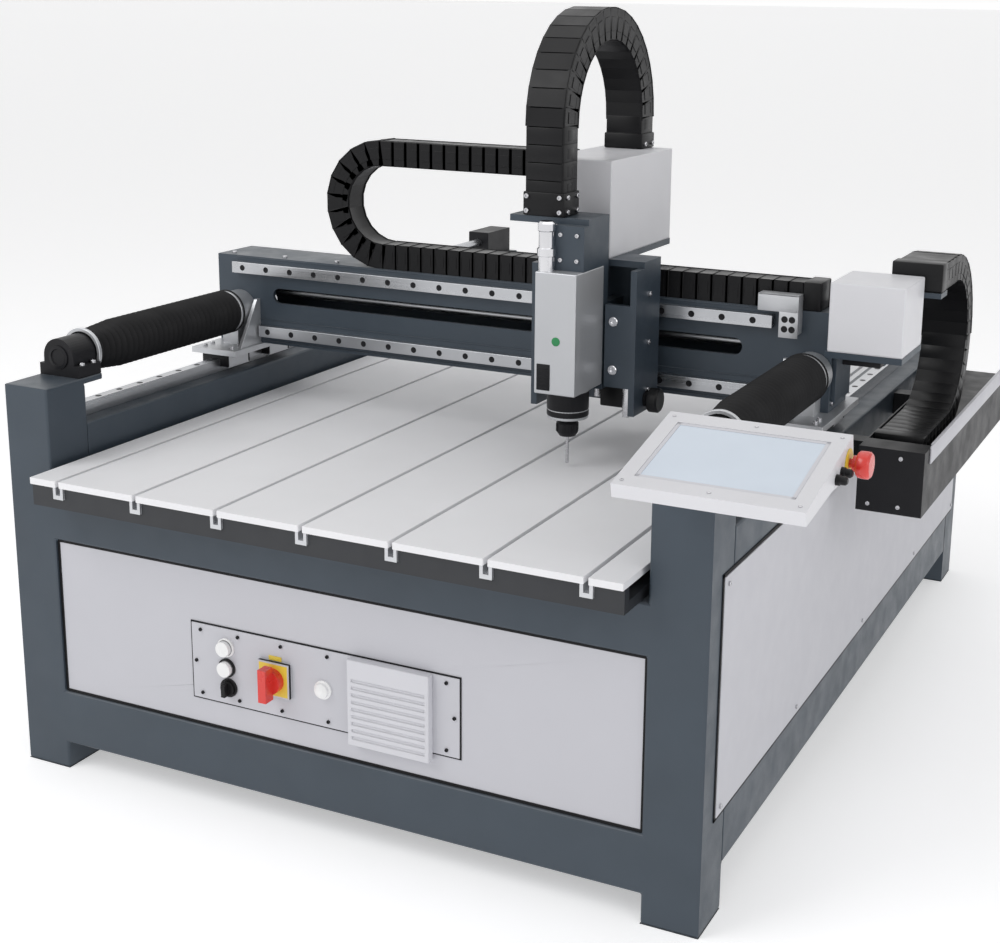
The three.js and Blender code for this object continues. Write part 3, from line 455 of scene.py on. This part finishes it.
def build_chains():
    x_axis, y_axis, z_axis = Vector((1, 0, 0)), Vector((0, 1, 0)), Vector((0, 0, 1))
    drag_chain("y_chain", "y_drag_chain", place(793, 901, 795), -z_axis, y_axis,
               180, 50, 88, 201, 141)
    drag_chain("x_chain", "x_drag_chain", place(-280, 680, 1020), -z_axis, -x_axis,
               130, 50, 60, 920, 413)
    drag_chain("z_chain", "z_drag_chain", place(192.5, 637, 1214), y_axis, z_axis,
               207, 60, 75, 64, 157)
    for name, body, x, y, z in (
            ("x_chain_end", "carriage", (104, 133), (648, 712), (1098, 1152)),
            ("x_chain_anchor", "gantry", (612, 645), (646, 714), (890.5, 943)),
            ("z_chain_anchor", "carriage", (152, 233), (782, 846), (1150.5, 1180)),
            ("z_chain_end", "spindle", (152, 233), (427, 493), (1057.5, 1100)),
            ("y_chain_anchor", "machine_base", (745.5, 840), (690, 722), (615.5, 668)),
            ("y_chain_end", "gantry", (746, 840), (752, 790), (925.5, 978))):
        bm = bmesh.new()
        brick(bm, x, y, z, 2.5)
        piece(name, bm, BLACK, body)
    bolts("z_chain_end_bolts", [(x, 427, z) for x in (160, 225) for z in (1066, 1092)], 4.5, "-y", "spindle")
    bolts("z_chain_side_bolts", [(233, y, z) for y in (440, 480) for z in (1066, 1092)], 4.5, "x", "spindle")
    bolts("z_anchor_bolts", [(233, y, 1160) for y in (795, 832)], 4.5, "x", "carriage")


# ---------------------------------------------------------------- rails and gantry detail

def rail_holes(name, spots, axis, body):
    """Dark plugs in a rail's bolt holes, each with a low rim."""
    bm = bmesh.new()
    for spot in spots:
        lathe(bm, [(0, 0.15), (4.8, 0.15), (5.4, 0.35), (6.2, 0.1), (6.2, -0.4), (0, -0.4)],
              place(*spot), axis, 20)
    piece(name, bm, BLACK_METAL, body)


def build_gantry_detail():
    upper = [(-617 + HOLE_PITCH * i, X_RAIL_FACE_Y, UPPER_RAIL_Z) for i in range(20)]
    lower = [(-557 + HOLE_PITCH * i, X_RAIL_FACE_Y, LOWER_RAIL_Z) for i in range(19)]
    rail_holes("upper_rail_holes", upper, "-y", "gantry")
    rail_holes("lower_rail_holes", lower, "-y", "gantry")
    for side, word in ((-1, "left"), (1, "right")):
        spots = [(side * SCREW_X, 130 + HOLE_PITCH * i, Y_RAIL_TOP_Z) for i in range(28)]
        rail_holes(f"{word}_y_rail_holes", spots, "z", "machine_base")
    bm = bmesh.new()
    for z in (867, 853, 745, 719):
        brick(bm, (-644, 560), (645.5, BEAM_FACE_Y + 0.4), (z + 10, z + 12), 0.4)
    for z in (886, 708):
        brick(bm, (-640, 600), (645, BEAM_FACE_Y + 0.2), (z, z + 2.5), 0.5)
    piece("beam_ledges", bm, PAINT, "gantry")
    bolts("beam_top_bolts", [(x, 665, BEAM_TOP_Z) for x in range(-660, 640, 130)], 5, "z", "gantry")
    bolts("beam_end_bolts", [(670, y, z) for y in (662, 752) for z in (720, 875)], 5, "x", "gantry")
    bm = bmesh.new()
    brick(bm, (536, 613), (618, 621), (889, 921), 1)
    brick(bm, (577, 613), (618, 621), (842, 890), 1)
    brick(bm, (536, 613), (618, 647), (918, 921), 1)
    brick(bm, (604, 613), (620, 647), (848, 918), 1)
    piece("limit_switch_bracket", bm, ALUMINIUM, "gantry")
    rail_holes("switch_bracket_slots", [(x, 618, z) for x in (588, 602) for z in (858, 876)], "-y", "gantry")
    bm = bmesh.new()
    brick(bm, (676, 808), (604, 741), (822, 830.2), 1.5)
    brick(bm, (700, 770), (612, 640), (806, 822), 2)
    piece("x_cover_seal", bm, BLACK_METAL, "gantry")
    for side, word in ((-1, "left"), (1, "right")):
        spots = [(side * x, y, FOOT_TOP_Z) for x in (600, 670) for y in (565, 590)]
        bolts(f"{word}_foot_bolts", spots, 5, "z", "gantry")
        bm = bmesh.new()
        for y in (552, 698):
            for gap in (0, 72):
                x = sorted((side * 602, side * 668))
                brick(bm, x, (y + gap, y + gap + 4), (666, 690), 1)
        piece(f"{word}_block_wipers", bm, BLACK, "gantry")


# ---------------------------------------------------------------- carriage and spindle detail

def build_carriage_detail():
    spots = [(304, HOUSING_FRONT_Y, z) for z in (775, 865)]
    bolts("housing_bolts", spots, 9, "-y", "carriage", CHROME)
    bolts("housing_side_bolts", [(HOUSING_RIGHT_X, 560, z) for z in (730, 820, 910)], 5, "x", "carriage")
    bm = bmesh.new()
    profile = [(0, 0), (14, 0), (14, 6), (20, 8), (23, 11), (23, 27), (20, 30), (0, 30)]
    lathe(bm, profile, place(HOUSING_RIGHT_X, 556, 712), "x", 36)
    piece("carriage_knob", bm, BLACK, "carriage")
    bm = bmesh.new()
    brick(bm, (322, 334), (503, 516), (686, 741), 1)
    piece("z_rail_end", bm, STEEL, "carriage")
    bm = bmesh.new()
    brick(bm, (262, 321), (536, 590), (694, 738), 3)
    piece("z_stop_block", bm, BLACK, "carriage")


def vent_plate(bm):
    brick(bm, (206, 232), (378.6, 380.4), (752, 800), 0.8)
    for i in range(6):
        brick(bm, (209, 229), (377.8, 379.2), (756 + 7 * i, 759 + 7 * i), 0.4)


def build_spindle_detail():
    axis_x, axis_y = TOOL_AXIS
    bm = bmesh.new()
    profile = [(0, 0), (15, 0), (15, 26), (17, 27), (17, 40), (14, 42), (14, 70), (16, 72), (16, 84),
               (12, 88), (0, 88)]
    lathe(bm, profile, place(214, 398, SPINDLE_TOP_Z), "z", 32)
    piece("power_connector", bm, CHROME, "spindle")
    bm = bmesh.new()
    vent_plate(bm)
    piece("spindle_plate", bm, BLACK_METAL, "spindle")
    bm = bmesh.new()
    lathe(bm, [(0, -1), (8, -1), (8, 0.6), (7, 1), (0, 1)], place(243, SPINDLE_FACE_Y, 843), "-y", 28)
    piece("spindle_dot", bm, GREEN, "spindle")
    bm = bmesh.new()
    rings = [(0, 0), (30, 0), (37, 3), (38.6, 6), (38.6, 14), (37.6, 16), (38.6, 18), (38.6, 50), (0, 50)]
    lathe(bm, rings, place(axis_x, axis_y, NOSE_BOTTOM_Z), "z", 48)
    piece("nose_shroud", bm, BLACK_METAL, "spindle")
    bm = bmesh.new()
    nut = [(3.3, 0), (15, 0), (18, 4), (20, 8), (20, 24), (17, 28), (13, 30), (13, 34.5), (3.3, 34.5),
           (3.3, 0)]
    nut_base = place(axis_x, axis_y, COLLET_BOTTOM_Z)
    lathe(bm, nut, nut_base, "z", 36)
    flats = 8
    for i in range(flats):
        angle = math.tau * i / flats
        spin = Matrix.Translation(nut_base) @ Matrix.Rotation(angle, 4, "Z") @ Matrix.Scale(MM, 4)
        brick(bm, (18.5, 21), (-2.5, 2.5), (9, 23), 0.6, spin)
    nut_piece = piece("collet_nut_turned", bm, BLACK_METAL, "tool")
    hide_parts("collet_nut")
    bolts("spindle_top_bolts", [(x, 410, z) for x in (236, 268) for z in (985, 1030)], 4, "-y", "spindle")


# ---------------------------------------------------------------- front controls

def rim(bm, x, z, y, width, depth):
    """A flat rectangular frame of strips, standing on the front."""
    brick(bm, (x[0] - width, x[1] + width), (y - depth, y), (z[0] - width, z[0]), 0)
    brick(bm, (x[0] - width, x[1] + width), (y - depth, y), (z[1], z[1] + width), 0)
    brick(bm, (x[0] - width, x[0]), (y - depth, y), z, 0)
    brick(bm, (x[1], x[1] + width), (y - depth, y), z, 0)


def build_front_detail():
    # A thin dark outline of painted shade along the control plate's edges.
    bm = bmesh.new()
    rim(bm, (-285, 256), (210, 352), 6, 2.5, 1.5)
    piece("control_plate_edge_shade", bm, RUBBER, "machine_base")
    # Dark strips of painted shade in the recess round the front panel, standing in for the shadow cast by
    # the frame's edge; the back gets the same painted shade.
    for name, y in (("front_recess_shade", 6), ("rear_recess_shade", 1866)):
        bm = bmesh.new()
        rim(bm, (-580, 580), (162, 452), y, 5, 1.2)
        piece(name, bm, RUBBER, "machine_base")
    edge = [(x, PLATE_FACE_Y, z) for x in (-265, -185, -95, 0, 232) for z in (221, 341)]
    edge += [(x, PLATE_FACE_Y, 281) for x in (-276, 247)]
    bolts("control_plate_screws", edge, 3.2, "-y", "machine_base", BLACK_METAL)
    bm = bmesh.new()
    brick(bm, (-136, -78), (-5.28, -5.0), (251, 309), 0)
    brick(bm, (-120, -94), (1.8, 2.9), (313, 321), 0)
    piece("switch_plate", bm, YELLOW, "machine_base")
    bm = bmesh.new()
    brick(bm, (-139.4, -74.6), (-4.9, 2.9), (247.6, 312.4), 2)
    piece("switch_plate_border", bm, BLACK, "machine_base")
    bm = bmesh.new()
    lamp = [(0, 0), (17, 0), (17, 3), (14, 5), (13, 9), (8, 12), (0, 13)]
    lathe(bm, lamp, place(-9, PLATE_FACE_Y, 279), "-y", 36)
    piece("front_lamp", bm, WHITE, "machine_base")
    collar = [(14.6, 0), (17.4, 0), (17.4, 3), (16.2, 4), (14.6, 4), (14.6, 0)]
    for name, x, z in (
            ("power_collar", -211, 317), ("start_collar", -210, 279), ("selector_collar", -207, 242)):
        bm = bmesh.new()
        lathe(bm, collar, place(x, PLATE_FACE_Y, z), "-y", 36)
        piece(name, bm, WHITE if name == "power_collar" else BLACK, "machine_base")


# ---------------------------------------------------------------- pendant and stop button

PENDANT_ORIGIN = (583, -150, 757)
PENDANT_TILT = math.atan2(52, 226)


def pendant_frame():
    turn = Matrix.Rotation(PENDANT_TILT, 4, "X")
    return Matrix.Translation(place(*PENDANT_ORIGIN)) @ turn @ Matrix.Scale(MM, 4)


def build_pendant_detail():
    local = pendant_frame()
    wide, deep, top = 283, 232, 22
    bm = bmesh.new()
    spots = [(x, y) for y in (14, deep - 14) for x in (12, wide / 2, wide - 12)]
    for x, y in spots:
        at = local @ Vector((x, y, top))
        lathe(bm, [(0, 0), (3.2, 0), (3.2, 0.5), (2.4, 1.1), (0, 1.1)], at, "z", 14)
    piece("pendant_screws", bm, STEEL, "machine_base")
    bm = bmesh.new()
    for x, y in (((24.4, 30), (30.6, deep - 30.6)), ((wide - 30, wide - 24.4), (30.6, deep - 30.6)),
                 ((24.4, wide - 24.4), (30.6, 37)), ((24.4, wide - 24.4), (deep - 37, deep - 30.6))):
        brick(bm, x, y, (20.4, 21.2), 0, local)
    piece("screen_bezel", bm, FILTER, "machine_base")
    stop = local @ Vector((wide, 205, -10))
    bm = bmesh.new()
    lathe(bm, [(0, -8), (6.5, -8), (6.5, 7.5), (12, 7.5), (12.5, 12), (17.5, 14), (19.8, 17), (20.4, 26),
               (19.8, 31), (17, 34), (0, 34.8)], stop, "x", 48)
    head = piece("stop_head", bm, RED, "estop")
    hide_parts("estop_button")
    bm = bmesh.new()
    lathe(bm, [(7.2, 0.2), (21, 0.2), (21, 1.4), (19, 2.2), (7.2, 2.2), (7.2, 0.2)], stop, "x", 40)
    piece("stop_ring", bm, YELLOW, "machine_base")
    bm = bmesh.new()
    for y, z in ((168, -6), (142, -4)):
        glands = [(0, 0), (8, 0), (8, 6), (6.5, 7), (6.5, 14), (4, 17), (0, 17)]
        lathe(bm, glands, local @ Vector((wide, y, z)), "x", 24)
    piece("pendant_glands", bm, BLACK, "machine_base")


# ---------------------------------------------------------------- tray, side panels and rear

def build_side_detail():
    bm = bmesh.new()
    brick(bm, (858.6, 863.4), (660, 1518), (664.6, 668), 1)
    brick(bm, (862.1, 865), (640, 1518), (636, 668), 0.8)
    piece("tray_lip", bm, SHEET, "machine_base")
    bolts("tray_bolts", [(x, TRAY_FRONT_Y, z) for x in (820, 765) for z in (560, 650)], 4, "-y",
          "machine_base")
    for side, word in ((-1, "left"), (1, "right")):
        axis = "x" if side > 0 else "-x"
        spots = [(side * SIDE_SHEET_X, y, z) for y in (70, 476, 935, 1394, 1800) for z in (198, 572)]
        bolts(f"{word}_panel_screws", spots, 4, axis, "machine_base")
        # Dark strips of painted shade filling the seams round each side panel, where the gap between panel
        # and frame is shaded.
        bm = bmesh.new()
        x = sorted((side * 685.2, side * 686.6))
        for y in ((48, 53.8), (1816.2, 1822)):
            brick(bm, x, y, (178, 592), 0.3)
        for z in ((178, 183.8), (586.2, 592)):
            brick(bm, x, (48, 1822), z, 0.3)
        piece(f"{word}_panel_seam_shade", bm, RUBBER, "machine_base")
    vents = bmesh.new()
    for i in range(9):
        brick(vents, (-110, 110), (1862.6, 1865), (240 + 16 * i, 247 + 16 * i), 0.8)
    piece("rear_vents", vents, BLACK, "machine_base")


# ---------------------------------------------------------------- stage

def build_stage():
    bm = bmesh.new()
    bmesh.ops.create_grid(bm, x_segments=2, y_segments=2, size=400)
    floor = finish("floor_pale", (0.9, 0.9, 0.91), 0.75, 0.0, 60, 0.01, 0.005)
    tree, shader = nodes_of(floor)
    shader.inputs["Emission Color"].default_value = (1, 1, 1, 1)
    shader.inputs["Emission Strength"].default_value = 0.42
    piece("floor", bm, floor)
    world = bpy.data.worlds.new("studio")
    bpy.context.scene.world = world
    world.use_nodes = True
    tree = world.node_tree
    background = tree.nodes["Background"]
    path = tree.nodes.new("ShaderNodeLightPath")
    seen = math_node(tree, "MAXIMUM", path.outputs["Is Camera Ray"], path.outputs["Is Glossy Ray"])
    daylight = 0.44
    extra = math_node(tree, "MULTIPLY", seen, 1 - daylight)
    tree.links.new(math_node(tree, "ADD", extra, daylight), background.inputs["Strength"])
    background.inputs["Color"].default_value = (1, 1, 1, 1)


def area_light(name, at, towards, size, power):
    data = bpy.data.lights.new(name, "AREA")
    data.size = size
    data.energy = power
    light = bpy.data.objects.new(name, data)
    light.location = at
    light.rotation_euler = (Vector(towards) - Vector(at)).to_track_quat("-Z", "Y").to_euler()
    bpy.context.scene.collection.objects.link(light)


def build_camera():
    azimuth, elevation, roll = (math.radians(a) for a in (24.86, 13.69, 0.92))
    forward = Vector((-math.sin(azimuth) * math.cos(elevation), math.cos(azimuth) * math.cos(elevation),
                      -math.sin(elevation)))
    level = Vector((math.cos(azimuth), math.sin(azimuth), 0))
    upright = level.cross(forward)
    right = level * math.cos(roll) + upright * math.sin(roll)
    up = right.cross(forward)
    data = bpy.data.cameras.new("camera")
    data.sensor_width = 36
    data.lens = 57.1
    data.shift_x = -0.067
    data.shift_y = -0.088
    camera = bpy.data.objects.new("camera", data)
    turn = Matrix((right, up, -forward)).transposed()
    camera.matrix_world = Matrix.Translation(place(1417.6, -2104.6, 1437)) @ turn.to_4x4()
    bpy.context.scene.collection.objects.link(camera)
    bpy.context.scene.camera = camera


dress_cad()
build_bellows()
build_chains()
build_gantry_detail()
build_carriage_detail()
build_spindle_detail()
build_front_detail()
build_pendant_detail()
build_side_detail()
build_stage()
build_camera()
area_light("key", (-2.5, -3.5, 4.0), (0, -0.3, 0.6), 3.0, 85)
area_light("fill", (4.0, -2.5, 2.5), (0, 0, 0.6), 3.0, 34)
area_light("top", (0.0, 0.5, 4.5), (0, 0, 0), 4.0, 26)
bpy.context.scene.view_settings.view_transform = "Standard"
